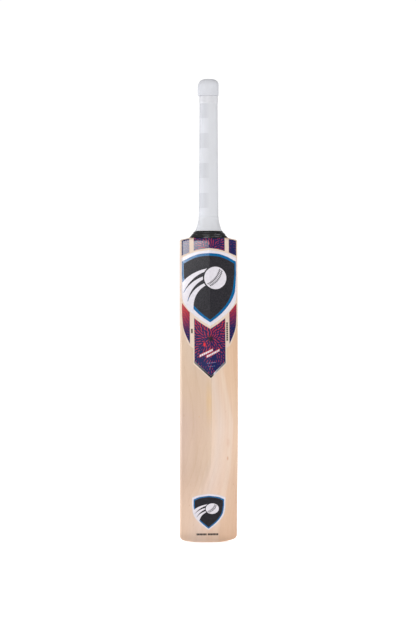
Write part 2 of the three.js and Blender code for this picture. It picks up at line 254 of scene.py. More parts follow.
def blade_ring(z, grow=0.0):
    """An outline of the blade, anticlockwise from the middle of the +X edge. z holds one height
    for each of its points."""
    index = np.arange(RING_COLUMNS)
    half = half_width(z) + grow
    side = np.where((index > QUARTER) & (index < 3 * QUARTER), -1.0, 1.0)
    on_face = index <= 2 * QUARTER
    from_edge = QUARTER - np.abs(QUARTER - index % (2 * QUARTER))

    def surface(share):
        return np.where(on_face, face_y(share) + grow, back_y(share, z) - grow)

    inward = np.where(on_face, -1.0, 1.0)
    middle = (face_y(np.ones(1)) + back_y(np.ones_like(z), z)) / 2
    share = (QUARTER - from_edge) / (QUARTER - CORNER_STEPS)
    flat_x = share * (half - EDGE_RADIUS)
    angle = np.clip((from_edge - 1) / (CORNER_STEPS - 1), 0, 1) * (math.pi / 2)
    arc_x = half - EDGE_RADIUS * (1 - np.cos(angle))
    arc_y = surface(arc_x / half) + inward * EDGE_RADIUS * (1 - np.sin(angle))
    x = np.where(from_edge > CORNER_STEPS, flat_x, arc_x)
    y = np.where(from_edge > CORNER_STEPS, surface(flat_x / half), arc_y)
    y = np.where(from_edge == 0, middle, y)
    turn = index / RING_COLUMNS * 2 * math.pi
    round_x, round_y = half * np.cos(turn), (NECK_OVAL_Y + grow) * np.sin(turn)
    return np.stack([mix(side * x, round_x, rounding(z)), mix(y, round_y, rounding(z)), z], axis=-1)


def back_point(x, z, lift):
    """The point on the blade's back at (x, z), lifted off the wood."""
    half = half_width(z)
    share = np.abs(x) / half
    y = back_y(share, z)
    past = np.clip((np.abs(x) - (half - EDGE_RADIUS)) / EDGE_RADIUS, 0, 0.999)
    y = y + EDGE_RADIUS * (1 - np.sqrt(1 - past**2))
    oval = -NECK_OVAL_Y * np.sqrt(np.clip(1 - share**2, 0, 1))
    return np.stack([x, mix(y, oval, rounding(z)) - lift, z], axis=-1)


# ---- Materials ----


class Nodes:
    """Shorthand for adding nodes to a node tree."""

    def __init__(self, tree):
        self.tree = tree

    def add(self, kind, output=0, inputs=None, **settings):
        node = self.tree.nodes.new("ShaderNode" + kind)
        for key, value in settings.items():
            setattr(node, key, value)
        for key, value in (inputs or {}).items():
            self.feed(node.inputs[key], value)
        return node.outputs[output]

    def feed(self, socket, value):
        if isinstance(value, bpy.types.NodeSocket):
            self.tree.links.new(value, socket)
        else:
            socket.default_value = value

    def math(self, operation, a, b=0.0, c=0.0):
        return self.add("Math", 0, {0: a, 1: b, 2: c}, operation=operation)

    def times(self, a, b):
        return self.math("MULTIPLY", a, b)

    def line(self, value, slope, start):
        """start + slope * value"""
        return self.math("MULTIPLY_ADD", value, slope, start)

    def steps(self, value, start, step):
        """How many steps value lies above start."""
        return self.math("DIVIDE", self.math("SUBTRACT", value, start), step)

    def clamp(self, value, high=1.0):
        return self.add("Clamp", 0, {0: value, 2: high})

    def squares(self, a, b):
        return self.math("ADD", self.times(a, a), self.times(b, b))

    def between(self, factor, a, b):
        """a where factor is 0 and b where it is 1."""
        return self.add("Mix", 0, {0: factor, 2: a, 3: b})


class Look(Nodes):
    """A node material under construction."""

    def __init__(self, name):
        self.material = bpy.data.materials.new(name)
        self.material.use_nodes = True
        super().__init__(self.material.node_tree)
        self.shader = self.tree.nodes["Principled BSDF"]
        self.place = self.add("TexCoord", "Object")

    def set(self, **values):
        for key, value in values.items():
            self.feed(self.shader.inputs[key.replace("_", " ")], value)

    def axis(self, name):
        return self.add("SeparateXYZ", name, {0: self.place})

    def noise(self, scale, stretch=(1, 1, 1), detail=3.0, roughness=0.5, shift=(0, 0, 0)):
        place = self.add("Mapping", 0, {"Vector": self.place, "Scale": stretch, "Location": shift})
        inputs = {"Vector": place, "Scale": scale, "Detail": detail, "Roughness": roughness}
        return self.add("TexNoise", "Fac", inputs)

    def ramp(self, value, stops):
        """A colour for each value, from (value, colour) stops where a grey is one number."""
        node = self.tree.nodes.new("ShaderNodeValToRGB")
        self.tree.links.new(value, node.inputs[0])
        elements = node.color_ramp.elements
        while len(elements) < len(stops):
            elements.new(0.5)
        for element, (position, color) in zip(elements, stops, strict=True):
            element.position = position
            element.color = (*color, 1.0) if isinstance(color, tuple) else (color, color, color, 1.0)
        return node.outputs["Color"]

    def blend(self, factor, a, b, kind="MIX"):
        return self.add("Mix", 2, {0: factor, 6: a, 7: b}, data_type="RGBA", blend_type=kind)

    def tint(self, amount, colour, by):
        """The colour multiplied by another one, by the given amount."""
        return self.blend(amount, colour, by, "MULTIPLY")

    def bump(self, height, distance, strength=1.0):
        normal = self.add("Bump", 0, {"Height": height, "Distance": distance, "Strength": strength})
        self.set(Normal=normal)


def srgb(red, green, blue):
    """A colour of 0 to 255 steps as linear values."""
    parts = [v / 255 for v in (red, green, blue)]
    return tuple(v / 12.92 if v <= 0.04045 else ((v + 0.055) / 1.055) ** 2.4 for v in parts)


def rgba(red, green, blue):
    return (*srgb(red, green, blue), 1.0)


# The wood's tones from left to right, by metres from the middle.
WILLOW_TONES = [
    (-0.080, (217, 189, 173)), (-0.066, (222, 195, 175)), (-0.050, (227, 202, 182)),
    (-0.030, (227, 207, 194)), (-0.008, (229, 203, 184)), (0.001, (232, 209, 191)),
    (0.007, (230, 205, 186)), (0.011, (227, 197, 172)), (0.030, (227, 196, 170)),
    (0.050, (223, 188, 161)), (0.070, (218, 180, 153)),
]
# Where the painted shade of the left facet begins, across the blade.
FACET_SHADE_X = 0.0017
DARK_BELOW = -0.041
LEAN_FROM = 0.227
RING_SLANT = 1.2
RING_SPACING = 0.0085
# The x, z, half width and depth of tone of each knot.
PIN_KNOTS = [
    (0.0335, 0.158, 0.0009, 0.6), (0.0345, 0.187, 0.002, 0.18), (-0.021, 0.236, 0.0004, 0.5),
]
KNOT_STRETCH = 2.6


def willow_look():
    """Growth rings cut by the carved back, so their lines bend where the wood gets thinner."""
    look = Look("willow")
    x, z = look.axis("X"), look.axis("Z")
    y = look.math("SUBTRACT", look.axis("Y"), AXIS_Y * MM)
    bow_z = look.steps(z, 0.17, 0.09)
    sweep = look.math("EXPONENT", look.times(look.times(bow_z, bow_z), -1.0))
    across = look.line(y, RING_SLANT, x)
    across = look.line(sweep, -0.006, across)
    sway = look.noise(1.0, (12, 12, 3.0), detail=2, shift=(0.3, 0, 0))
    across = look.line(look.math("SUBTRACT", sway, 0.5), 0.012, across)

    low, high = WILLOW_TONES[0][0], WILLOW_TONES[-1][0]
    lean = look.clamp(look.math("SUBTRACT", z, LEAN_FROM), 0.1)
    place = look.steps(look.line(lean, 0.22, across), low, high - low)
    colour = look.ramp(place, [((at - low) / (high - low), srgb(*tone)) for at, tone in WILLOW_TONES])
    # Painted shade on the left facet and at the toe's foot, and a yellow patch.
    colour = look.tint(1.0, colour, painted_shade_and_patch(look, x, z, across))

    crowd = look.noise(1.0, (40, 40, 0.6), detail=1, shift=(7, 3, 1))
    rings = look.math("DIVIDE", look.line(crowd, 0.010, across), RING_SPACING)
    ring = look.math("FRACT", rings)
    line = look.ramp(ring, [
        (0.0, 1), (0.55, (0.995, 0.99, 0.985)), (0.86, (0.965, 0.94, 0.915)),
        (0.95, (0.9, 0.85, 0.79)), (1.0, (0.99, 0.98, 0.97)),
    ])
    strength = look.noise(1.0, (30, 30, 1.6), detail=2, shift=(1, 9, 4))
    strength = look.ramp(strength, [(0.35, 0.1), (0.7, 0.6)])
    colour = look.blend(strength, colour, look.tint(1.0, colour, line))

    streak = look.noise(1.0, (110, 110, 2.2), detail=4, roughness=0.6)
    colour = look.tint(0.7, colour, look.ramp(streak, [(0.3, (0.915, 0.88, 0.85)), (0.65, 1)]))
    cloud = look.noise(9.0, (1, 1, 0.45))
    colour = look.tint(0.8, colour, look.ramp(cloud, [(0.35, (0.965, 0.94, 0.915)), (0.65, 1)]))
    fibre = look.noise(1.0, (1500, 1500, 26), detail=3, roughness=0.65)
    colour = look.tint(0.45, colour, look.ramp(fibre, [(0.32, (0.9, 0.86, 0.82)), (0.62, 1)]))
    fleck = look.noise(1.0, (260, 260, 60), detail=1, shift=(4, 2, 1))
    colour = look.tint(0.4, colour, look.ramp(fleck, [(0.77, 1), (0.8, srgb(200, 160, 124))]))
    for knot_x, knot_z, half, depth in PIN_KNOTS:
        away = look.squares(look.steps(x, knot_x, half), look.steps(z, knot_z, half * KNOT_STRETCH))
        knot = look.ramp(look.math("DIVIDE", away, 4.0), [(0.1, depth), (1.0, 0)])
        colour = look.blend(knot, colour, rgba(196, 130, 86))
    look.set(Base_Color=colour, Roughness=look.line(fibre, 0.2, 0.4), Specular_IOR_Level=0.5)
    look.bump(look.line(ring, 0.15, fibre), 0.00012, 0.5)
    return look.material


def painted_shade_and_patch(look, x, z, across):
    """Painted shade: the left facet of the back, beside the spine, is darkened, and so is the toe's
    foot, where it rounds under. Also a yellow patch beside the spine, and small changes of tone higher up."""
    # Painted shade: the left facet of the back, off the spine, is darkened.
    left = look.clamp(look.math("ADD", look.steps(FACET_SHADE_X, x, 0.0014), 0.5))
    deep = look.clamp(look.math("ADD", look.steps(DARK_BELOW, across, 0.005), 0.5))
    fading = look.clamp(look.steps(z, 0.065, 0.07))
    dark = look.times(look.times(left, deep), fading)
    colour = look.ramp(dark, [(0.0, 1), (1.0, (0.868, 0.862, 0.843))])
    beside = look.clamp(look.steps(x, -0.0105, 0.005))
    along = look.math("DIVIDE", look.math("ABSOLUTE", look.math("SUBTRACT", z, 0.266)), 0.056)
    along = look.math("SUBTRACT", 1.0, look.clamp(along))
    yellow = look.times(look.times(beside, along), dark)
    colour = look.blend(yellow, colour, (0.89, 0.83, 0.66, 1))
    # Painted shade: darkest at the toe's foot, where it rounds under; higher up, small changes of tone.
    toe_shade_and_tone = look.ramp(look.math("DIVIDE", look.line(x, 0.08, z), 0.32), [
        (0.025, (0.80, 0.755, 0.725)), (0.052, (0.92, 0.88, 0.86)), (0.11, (0.955, 0.93, 0.92)),
        (0.35, (0.935, 0.915, 0.91)), (0.5, 1), (0.7, 1), (0.95, (0.985, 0.97, 0.935)),
    ])
    return look.tint(1.0, colour, toe_shade_and_tone)


def cane_look():
    look = Look("cane")
    fibre = look.noise(1.0, (900, 900, 18), detail=4, roughness=0.7)
    colour = look.ramp(fibre, [
        (0.3, srgb(172, 134, 84)), (0.5, srgb(209, 176, 124)), (0.72, srgb(226, 199, 152)),
    ])
    pores = look.ramp(look.noise(1.0, (1700, 1700, 60), detail=1), [(0.3, srgb(120, 84, 50)), (0.38, 1)])
    look.set(Base_Color=look.tint(0.6, colour, pores), Roughness=look.line(fibre, 0.25, 0.4))
    look.bump(fibre, 0.0002, 0.6)
    return look.material


def spring_rubber_look():
    look = Look("spring_rubber")
    grain = look.noise(900.0, detail=3)
    look.set(Base_Color=look.ramp(grain, [(0.3, srgb(38, 32, 30)), (0.7, srgb(62, 54, 50))]))
    look.set(Roughness=look.line(grain, 0.2, 0.65))
    look.bump(grain, 0.0001, 0.5)
    return look.material


def twine_look():
    look = Look("twine")
    strand = look.noise(1.0, (300, 300, 2600), detail=4, roughness=0.7)
    colour = [(0.3, srgb(132, 100, 62)), (0.55, srgb(176, 144, 98)), (0.75, srgb(206, 178, 134))]
    look.set(Base_Color=look.ramp(strand, colour), Roughness=0.8)
    look.bump(strand, 0.0003, 0.7)
    return look.material


def block_parity(look, first_z, height):
    """1 on every other square block round the grip and up it, and 0 on the others."""
    depth = look.math("SUBTRACT", look.axis("Y"), AXIS_Y * MM)
    angle = look.math("ARCTAN2", depth, look.axis("X"))
    column = look.math("FLOOR", look.math("DIVIDE", angle, math.pi / 2))
    up = look.math("MAXIMUM", look.axis("Z"), first_z - height / 2)
    row = look.math("FLOOR", look.steps(up, first_z, height))
    total = look.math("ADD", column, row)
    return look.math("FLOORED_MODULO", total, 2.0)


def rubber_grain(look, roughness):
    grain = look.noise(1500.0, detail=2)
    look.set(Roughness=look.line(grain, 0.15, roughness), Specular_IOR_Level=0.25)
    look.bump(grain, 0.00006, 0.6)


def painted_rim_shade(look, colour):
    """Painted shade: soft rubber and thin film are darkened toward their outline, where they turn from
    view.
    """
    facing = look.add("LayerWeight", "Facing", {"Blend": 0.5})
    shade = look.ramp(facing, [(0.25, 1), (0.5, 0.93), (0.85, 0.78)])
    return look.tint(1.0, colour, shade)


def grip_look():
    look = Look("grip_rubber")
    # Painted light: alternate blocks are lighter and darker, as their crossed ribs catch the light
    # differently.
    parity = block_parity(look, BLOCK_START * MM, BLOCK_HEIGHT * MM)
    cloud = look.noise(60.0, (1, 1, 0.5), detail=3)
    light = look.ramp(cloud, [(0.3, srgb(208, 209, 214)), (0.7, srgb(213, 214, 219))])
    dark = look.ramp(cloud, [(0.3, srgb(197, 198, 203)), (0.7, srgb(202, 203, 208))])
    # Painted light: the right side, away from the light, and the flare get one plain colour instead.
    plain = look.ramp(look.line(look.axis("X"), 30.0, 0.5), [(0.27, 0), (0.55, 1)])
    plain = look.math("MAXIMUM", plain, look.math("LESS_THAN", look.axis("Z"), FLARE_BEAD_Z * MM))
    colour = look.blend(plain, look.blend(parity, dark, light), rgba(208, 209, 213))
    smudge = look.noise(22.0, (1, 1, 0.6), detail=4, shift=(2, 1, 5))
    smudge = look.ramp(smudge, [(0.3, (0.965, 0.962, 0.955)), (0.55, 1)])
    # Painted shade darkens the grip toward its outline.
    look.set(Base_Color=painted_rim_shade(look, look.tint(1.0, colour, smudge)))
    rubber_grain(look, 0.55)
    return look.material


def cap_look():
    look = Look("cap_rubber")
    cloud = look.noise(70.0, (1, 1, 0.6), detail=4)
    colour = look.ramp(cloud, [(0.3, srgb(201, 202, 207)), (0.7, srgb(209, 210, 215))])
    # Painted shade darkens the cap toward its outline.
    look.set(Base_Color=painted_rim_shade(look, colour))
    rubber_grain(look, 0.5)
    return look.material


def band_look():
    look = Look("grip_band")
    cloud = look.noise(90.0, (1, 1, 3), detail=3)
    colour = look.ramp(cloud, [(0.3, srgb(202, 202, 206)), (0.7, srgb(212, 212, 216))])
    # Painted shade darkens the band toward its outline.
    look.set(Base_Color=painted_rim_shade(look, colour), Roughness=look.line(cloud, 0.2, 0.25), Coat_Weight=0.1)
    look.bump(look.noise(1.0, (60, 60, 900), detail=3), 0.0003, 0.4)
    return look.material


def tape_look():
    look = Look("shoulder_tape")
    wrinkles_and_glints = look.noise(1.0, (34, 34, 280), detail=4, roughness=0.6)
    weave = look.noise(1.0, (900, 900, 900), detail=2)
    # Painted highlight: the lightest tone paints glints along the pulled wrinkles.
    tones_with_glints = [(0.3, srgb(4, 4, 6)), (0.57, srgb(9, 8, 11)), (0.68, srgb(112, 110, 116))]
    look.set(Base_Color=look.ramp(wrinkles_and_glints, tones_with_glints), Specular_IOR_Level=0.4)
    look.set(Roughness=look.line(wrinkles_and_glints, 0.3, 0.1))
    look.bump(look.math("ADD", wrinkles_and_glints, look.times(weave, 0.08)), 0.0011, 0.7)
    return look.material


def vinyl(name, low, high, rough=0.13, gloss=0.5, speckle=0.0, scale=240.0):
    """Printed vinyl: a mottled ink between two colours with a clear gloss."""
    look = Look(name)
    mottle = look.noise(scale, detail=4, roughness=0.65)
    colour = look.ramp(mottle, [(0.32, srgb(*low)), (0.68, srgb(*high))])
    if speckle:
        spots = look.ramp(look.noise(1400.0, detail=1), [(0.6, 0), (0.72, 1)])
        colour = look.blend(look.times(spots, speckle), colour, rgba(150, 148, 156))
    look.set(Base_Color=colour, Roughness=look.line(mottle, 0.1, rough), Specular_IOR_Level=gloss)
    look.bump(look.noise(90.0, detail=3), 0.0003, 0.12)
    return look.material


EYE_Z = 0.381
EYE_RADIUS = 0.008
FAN_Z = 0.546
UPPER_FROM = 0.5
SPARK = (-0.0108, 0.3698)
SPARK_HALF = (0.0028, 0.0050)
STROKE_PERIOD = 0.0045
STROKE_SCALE = 70.0


def maze_look():
    """Red maze strokes on navy round a dark eye, that thicken up the lower strips. level is 0
    where the print is mostly navy and 1 where it is mostly red."""
    look = Look("label_print")
    x, z = look.axis("X"), look.axis("Z")
    from_middle = look.math("ABSOLUTE", x)
    rise = look.math("SUBTRACT", z, EYE_Z)
    away = look.math("SQRT", look.squares(x, rise))
    flat = look.add("CombineXYZ", 0, {0: x, 1: z})
    upper = look.math("GREATER_THAN", z, UPPER_FROM)
    fan = look.line(upper, EYE_Z - FAN_Z, rise)
    turn = look.math("ADD", look.math("ARCTAN2", fan, x), math.pi / 2)
    strokes = look.add("TexGabor", "Value", {
        "Vector": flat, "Scale": STROKE_SCALE, "Frequency": 1 / (STROKE_SCALE * STROKE_PERIOD),
        "Anisotropy": 0.55, "Orientation": turn,
    })

    sides = look.clamp(look.steps(from_middle, 0.031, 0.004))
    drift = look.times(look.math("SUBTRACT", look.noise(60.0, detail=2), 0.5), 0.3)
    outward = look.line(from_middle, -0.5, z)
    centre_level = look.math("ADD", look.steps(outward, 0.328, 0.125), drift)
    side_level = look.steps(look.line(x, -0.14, z), 0.394, 0.046)
    lower_level = look.between(sides, centre_level, side_level)
    upper_level = look.line(from_middle, -8.0, 0.36)
    level = look.clamp(look.between(upper, lower_level, upper_level))

    threshold = look.line(level, -0.19, 0.59)
    ink = look.clamp(look.steps(strokes, threshold, 0.08))
    ink = look.between(look.times(sides, 0.65), ink, level)
    ground = look.ramp(level, [(0.0, srgb(20, 29, 82)), (0.6, srgb(36, 28, 78)), (1.0, srgb(62, 30, 70))])
    red = look.ramp(level, [(0.0, srgb(146, 46, 78)), (0.5, srgb(172, 45, 66)), (1.0, srgb(184, 50, 54))])
    colour = look.blend(ink, ground, red)
    spark_x = look.steps(x, SPARK[0], SPARK_HALF[0])
    spark_z = look.steps(z, SPARK[1], SPARK_HALF[1])
    spark = look.ramp(look.squares(spark_x, spark_z), [(0.2, 0.95), (1.0, 0)])
    colour = look.blend(spark, colour, rgba(228, 40, 48))
    eye = look.ramp(look.math("DIVIDE", away, EYE_RADIUS), [(0.3, 0.9), (1.0, 0)])
    colour = look.blend(eye, colour, rgba(28, 26, 34))
    look.set(Base_Color=colour, Roughness=0.15, Specular_IOR_Level=0.5)
    look.bump(look.noise(90.0, detail=3), 0.0003, 0.12)
    return look.material


def foil_look():
    look = Look("foil")
    brush = look.noise(1.0, (300, 300, 1500), detail=4)
    # Painted reflection: dark grey on the left, a bright highlight just right of the tip, then mid grey, as
    # the metal would mirror the studio.
    across = look.ramp(look.steps(look.axis("X"), -0.03, 0.06), [
        (0.0, srgb(128, 126, 130)), (0.3, srgb(84, 82, 86)), (0.46, srgb(46, 44, 48)),
        (0.57, srgb(60, 58, 62)), (0.62, srgb(226, 226, 232)), (0.72, srgb(160, 160, 168)),
        (1.0, srgb(120, 120, 130)),
    ])
    tone = look.ramp(brush, [(0.3, 0.8), (0.7, 1)])
    look.set(Base_Color=look.tint(0.5, across, tone), Roughness=look.line(brush, 0.2, 0.25), Metallic=0.7)
    look.bump(brush, 0.0001, 0.4)
    return look.material


def floor_look():
    look = Look("floor")
    cloud = look.noise(3.0, detail=2)
    colour = look.ramp(cloud, [(0.3, 0.93), (0.7, 0.95)])
    look.set(Base_Color=colour, Roughness=0.9, Specular_IOR_Level=0.1)
    look.set(Emission_Color=(1, 1, 1, 1), Emission_Strength=0.52)
    return look.material


# ---- Blade ----

TOE_RISE = (4.6, 7.2)
TOE_FLAT_HALF = 8.0
TOE_CORNER_RADIUS = 6.5
TOE_ARRIS = 2.0
TOE_WARP_HEIGHT = 60.0
SOLE_RINGS = 8


def toe_rise(x):
    """How far the toe's edge lies above its lowest point, at x."""
    share = np.clip((np.abs(x) - TOE_FLAT_HALF) / (HALF_WIDTH - TOE_FLAT_HALF), 0, 1)
    return np.where(x < 0, *TOE_RISE) * share**2.1


def drawn_in(radius, z):
    """How far a corner of that radius is drawn in at height z above its foot."""
    return radius - math.sqrt(radius**2 - max(0.0, radius - z) ** 2)


def blade_rings():
    """Outlines up the blade, closer together where it curves, with the toe's sole first."""
    toe = TOE_ARRIS * (1 - np.cos(np.linspace(0, math.pi / 2, 6)))
    body = np.concatenate([
        toe, np.arange(4, 30, 2.0), np.arange(32, 560, 5.0),
        [561, 563], np.linspace(563.6, 569.6, 12), np.linspace(570.5, EAR_TOP, 24),
    ])
    rings = []
    centre_y = FACE_Y - SPINE_THICKNESS[0] / 2
    for z in body:
        ring = blade_ring(np.full(RING_COLUMNS, z))
        ring[:, 0] *= 1 - drawn_in(TOE_CORNER_RADIUS, z) / HALF_WIDTH
        shrink = 1 - 2 * drawn_in(TOE_ARRIS, z) / SPINE_THICKNESS[0]
        ring[:, 1] = centre_y + (ring[:, 1] - centre_y) * shrink
        rings.append(ring)
    sole = [rings[0].copy() for _ in range(SOLE_RINGS)]
    for ring, share in zip(sole, np.linspace(0.02, 0.97, SOLE_RINGS), strict=True):
        ring[:, 0] *= share
        ring[:, 1] = centre_y + (ring[:, 1] - centre_y) * share
    rings = np.array(sole + rings)
    warp = np.clip(1 - rings[:, :, 2] / TOE_WARP_HEIGHT, 0, 1)
    rings[:, :, 2] += toe_rise(rings[:, :, 0]) * warp
    return rings


def splice_cutter():
    """The V of the splice, a hair wider than the cane that fills it."""
    tip_z, tip = SPLICE_TIP
    top_z = NECK_Z + 10
    slope = (SPLICE_TOP_HALF - tip) / (NECK_Z - tip_z)
    room = 0.22
    corners = [
        (-tip + room, tip_z + room), (tip - room, tip_z + room),
        (tip - room + slope * (top_z - tip_z), top_z), (-tip + room - slope * (top_z - tip_z), top_z),
    ]
    points = [(x, y, z) for y in (-90.0, 60.0) for x, z in corners]
    faces = [(0, 1, 2, 3), (7, 6, 5, 4), (0, 4, 5, 1), (1, 5, 6, 2), (2, 6, 7, 3), (3, 7, 4, 0)]
    return add_object("splice_cutter", make_mesh("splice_cutter", points, faces))


def cut(piece, cutter):
    """Cuts the cutter out of the piece's mesh for good, and removes the cutter."""
    modifier = piece.modifiers.new("cut", "BOOLEAN")
    modifier.operation = "DIFFERENCE"
    modifier.solver = "EXACT"
    modifier.object = cutter
    graph = bpy.context.evaluated_depsgraph_get()
    made = bpy.data.meshes.new_from_object(piece.evaluated_get(graph))
    piece.modifiers.clear()
    piece.data = made
    bpy.data.objects.remove(cutter)
    made.shade_smooth()
    made.set_sharp_from_angle(angle=math.radians(30))


def make_blade(look):
    mesh = closed_loft("willow_blade", blade_rings())
    blade = new_object("willow_blade", mesh, look)
    cut(blade, splice_cutter())
    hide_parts("blade")


# ---- Handle pieces ----


def oval_grid(half_x, half_y, z, columns):
    """Rings of an oval tube: half_x, half_y and z hold one value per ring or per point."""
    turn = turns(columns)
    wide, deep, high = (v[:, None] if v.ndim == 1 else v for v in (half_x, half_y, z))
    return np.stack(np.broadcast_arrays(wide * np.cos(turn), deep * np.sin(turn), high), axis=-1)


BLOCK_HEIGHT = 27.9
BLOCK_START = 624.2
BLOCK_GROOVE = 0.12
RIB_PITCH = 1.55
FLARE_BEAD_Z = 606.5


def grip_half(z):
    flare = np.clip((FLARE_TOP - z) / (FLARE_TOP - GRIP_BOTTOM), 0, 1) ** FLARE_POWER
    tube = mix(GRIP_NECK_HALF, GRIP_TOP_HALF, (z - FLARE_TOP) / (GRIP_TOP - FLARE_TOP))
    return tube + FLARE_WIDTH * flare, tube - FLATTER + FLARE_DEPTH * flare


def grip_relief(turn, z):
    """The moulded surface: square blocks with ribs across or along them, and ribs on the flare."""
    row = (z - BLOCK_START) / BLOCK_HEIGHT
    column = turn / (math.pi / 2)
    near_row = np.abs(row - np.round(row)) * BLOCK_HEIGHT
    near_column = np.abs(column - np.round(column)) * BLOCK_HEIGHT
    groove = np.exp(-(np.minimum(near_row, near_column) / 0.55) ** 2)
    parity = (np.floor(row) + np.floor(column + 1e-6)) % 2
    across = np.sin(z * 2 * math.pi / RIB_PITCH)
    along = np.sin(turn * 72)
    ribs = np.where(parity > 0.5, 0.35 * along, across) * 0.045
    in_blocks = ease((z - FLARE_BEAD_Z - 1) / 2) * ease((BAND_Z[0] - z) / 2)
    flare_ribs = 0.16 * np.sin(z * 2 * math.pi / 2.2) * (1 - ease((z - FLARE_BEAD_Z + 2) / 2))
    return in_blocks * (ribs - BLOCK_GROOVE * groove) + flare_ribs


def make_grip(look):
    columns = 144
    z = np.concatenate([np.arange(GRIP_BOTTOM, 612, 0.37), np.arange(612, GRIP_TOP, 0.52), [GRIP_TOP]])
    turn = turns(columns)
    wide, deep = (v[:, None] for v in grip_half(z))
    relief = grip_relief(turn, z[:, None])
    bead = 0.4 * np.exp(-(((z - GRIP_BOTTOM - 0.9) / 0.9) ** 2))
    bead += 0.45 * np.exp(-(((z - FLARE_BEAD_Z) / 1.3) ** 2))
    relief = relief + bead[:, None]
    outer = oval_grid(wide + relief, deep + relief, z, columns)
    inner = oval_grid(wide - GRIP_THICKNESS, deep - GRIP_THICKNESS, z, columns)
    new_tube("rubber_grip", outer, inner, 50, look, "grip")


def make_band(look):
    columns = 96
    z = np.linspace(*BAND_Z, 30)
    wide, deep = grip_half(z)
    edge = np.minimum(z - BAND_Z[0], BAND_Z[1] - z)
    swell = 0.3 + 0.42 * (1 - np.exp(-edge / 0.5)) + 0.05 * np.sin(z * 2.1)
    outer = oval_grid(wide + swell, deep + swell, z, columns)
    inner = oval_grid(wide + 0.12, deep + 0.12, z, columns)
    new_tube("glossy_band", outer, inner, 30, look, "grip_end_band")


CAP_LIP = 1.2


def cap_half(z):
    share = np.clip((z - CAP_DOME_BOTTOM) / CAP_DOME_HEIGHT, 0, 1)
    return CAP_HALF * (1 - share**CAP_DOME_POWER) ** (1 / CAP_DOME_POWER)


def make_cap(look):
    """A thick domed rubber cup: rounded foot, faint moulding ribs and a rolled opening."""
    columns = 96
    foot = np.linspace(-math.pi / 2, 0, 6)
    wall = np.arange(CAP_BOTTOM + 1.4, CAP_DOME_BOTTOM, 0.5)
    share = 1 - (1 - np.linspace(0, 1, 22)) ** 1.7
    dome = mix(CAP_DOME_BOTTOM, BAT_LENGTH - 0.02, share)
    roll = np.linspace(math.pi / 2, -math.pi / 2, 9)
    lip_half = CAP_OPENING_HALF + CAP_LIP - CAP_LIP * np.cos(roll)
    lip_height = BAT_LENGTH - CAP_LIP + CAP_LIP * np.sin(roll)
    half = np.concatenate([CAP_HALF - 1 + np.cos(foot), cap_half(wall), cap_half(dome), lip_half])
    height = np.concatenate([CAP_BOTTOM + 1 + np.sin(foot), wall, dome, lip_height])
    ribs = ease((height - CAP_BOTTOM - 1.5) / 2) * ease((CAP_DOME_BOTTOM + 3 - height) / 4)
    half = half + 0.1 * np.sin(height * 2 * math.pi / 2.6) * ribs
    deep = half - FLATTER * (half / CAP_HALF) ** 4
    outer = oval_grid(half, deep, height, columns)
    outer[:, :, 0] += CAP_LEAN * (1 - ease((height - CAP_DOME_BOTTOM) / 14))[:, None]
    room_x, room_y = grip_half(np.full(len(half), CAP_BOTTOM))
    inner_x = np.minimum(half - 0.02, room_x + 0.3)
    inner_y = np.minimum(deep - 0.02, room_y + 0.3)
    inner_z = np.minimum(height, CAP_ROOM_TOP)
    inner = oval_grid(inner_x, inner_y, inner_z, columns)
    new_tube("rubber_end_cap", outer, inner, 40, look, "grip_end_cap")


# The cane at the neck and at its top, and how far the twine's walls stand off it.
CANE_HALF = (15.0, 13.9)
CANE_TOP = 861.0
CANE_OVAL = 0.96
TWINE_BULGE = 0.3
TWINE_WALLS = (0.3, 0.75)


def make_twine(look):
    """Close turns of waxed twine round the cane."""
    low, high = (corner.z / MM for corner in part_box("twine_binding"))
    pitch = 1.0
    columns = 40
    z = np.arange(low + pitch, high - pitch, pitch / 5)
    turn = turns(columns)
    bead = np.abs(np.sin((z[:, None] / pitch) * math.pi + turn / 2)) * TWINE_BULGE
    tube = mix(*CANE_HALF, (z - NECK_Z) / (CANE_TOP - NECK_Z))[:, None]
    inside, outside = TWINE_WALLS
    outer = oval_grid(tube + outside + bead, tube * CANE_OVAL + outside + bead, z, columns)
    inner = oval_grid(tube + inside, tube * CANE_OVAL + inside, z, columns)
    new_tube("wound_twine", outer, inner, 60, look, "twine_binding")


TAPE_EDGES = (3.1, 6.4, 9.6)


def make_tape(look):
    """Overlapping turns of stretched tape that bridge the hollows beside the spine, with a sagging
    lower edge, a bulge under the grip and pulled wrinkles."""
    phase = np.arange(RING_COLUMNS) / RING_COLUMNS * 2 * math.pi
    low = TAPE_BOTTOM + TAPE_SAG * np.cos(phase) ** 2
    rng = np.random.default_rng(7)
    waves = rng.uniform(0, 2 * math.pi, (6, 2))
    outer, inner = [], []
    for step in np.linspace(0, 1, 60):
        z = mix(low, TAPE_TOP, step)
        wood = blade_ring(z)
        hollow = np.exp(-(((np.abs(wood[:, 0]) - 11) / 7) ** 2)) * (wood[:, 1] < 0)
        lift = 1.2 + 1.1 * ease(step / 0.5) + 0.9 * hollow * (1 - step)
        for k, start in enumerate(TAPE_EDGES):
            edge = TAPE_BOTTOM + start + 0.8 * np.sin(phase + 2.1 * k)
            lift += 0.5 * ease((z - edge) / 0.35) - 0.45 * ease((z - edge - 1.0) / 2.2)
        for k, (a, b) in enumerate(waves):
            lift += 0.08 * np.sin((k + 3) * phase + a + 1.4 * np.sin(z * 0.9 + b) + z * (0.6 + 0.3 * k))
        off_wood = blade_ring(z, grow=1.0) - wood
        outer.append(wood + off_wood * lift[:, None])
        inner.append(wood + off_wood * 0.06)
    new_tube("wound_tape", np.array(outer), np.array(inner), 40, look, "shoulder_tape")


# ---- Labels ----


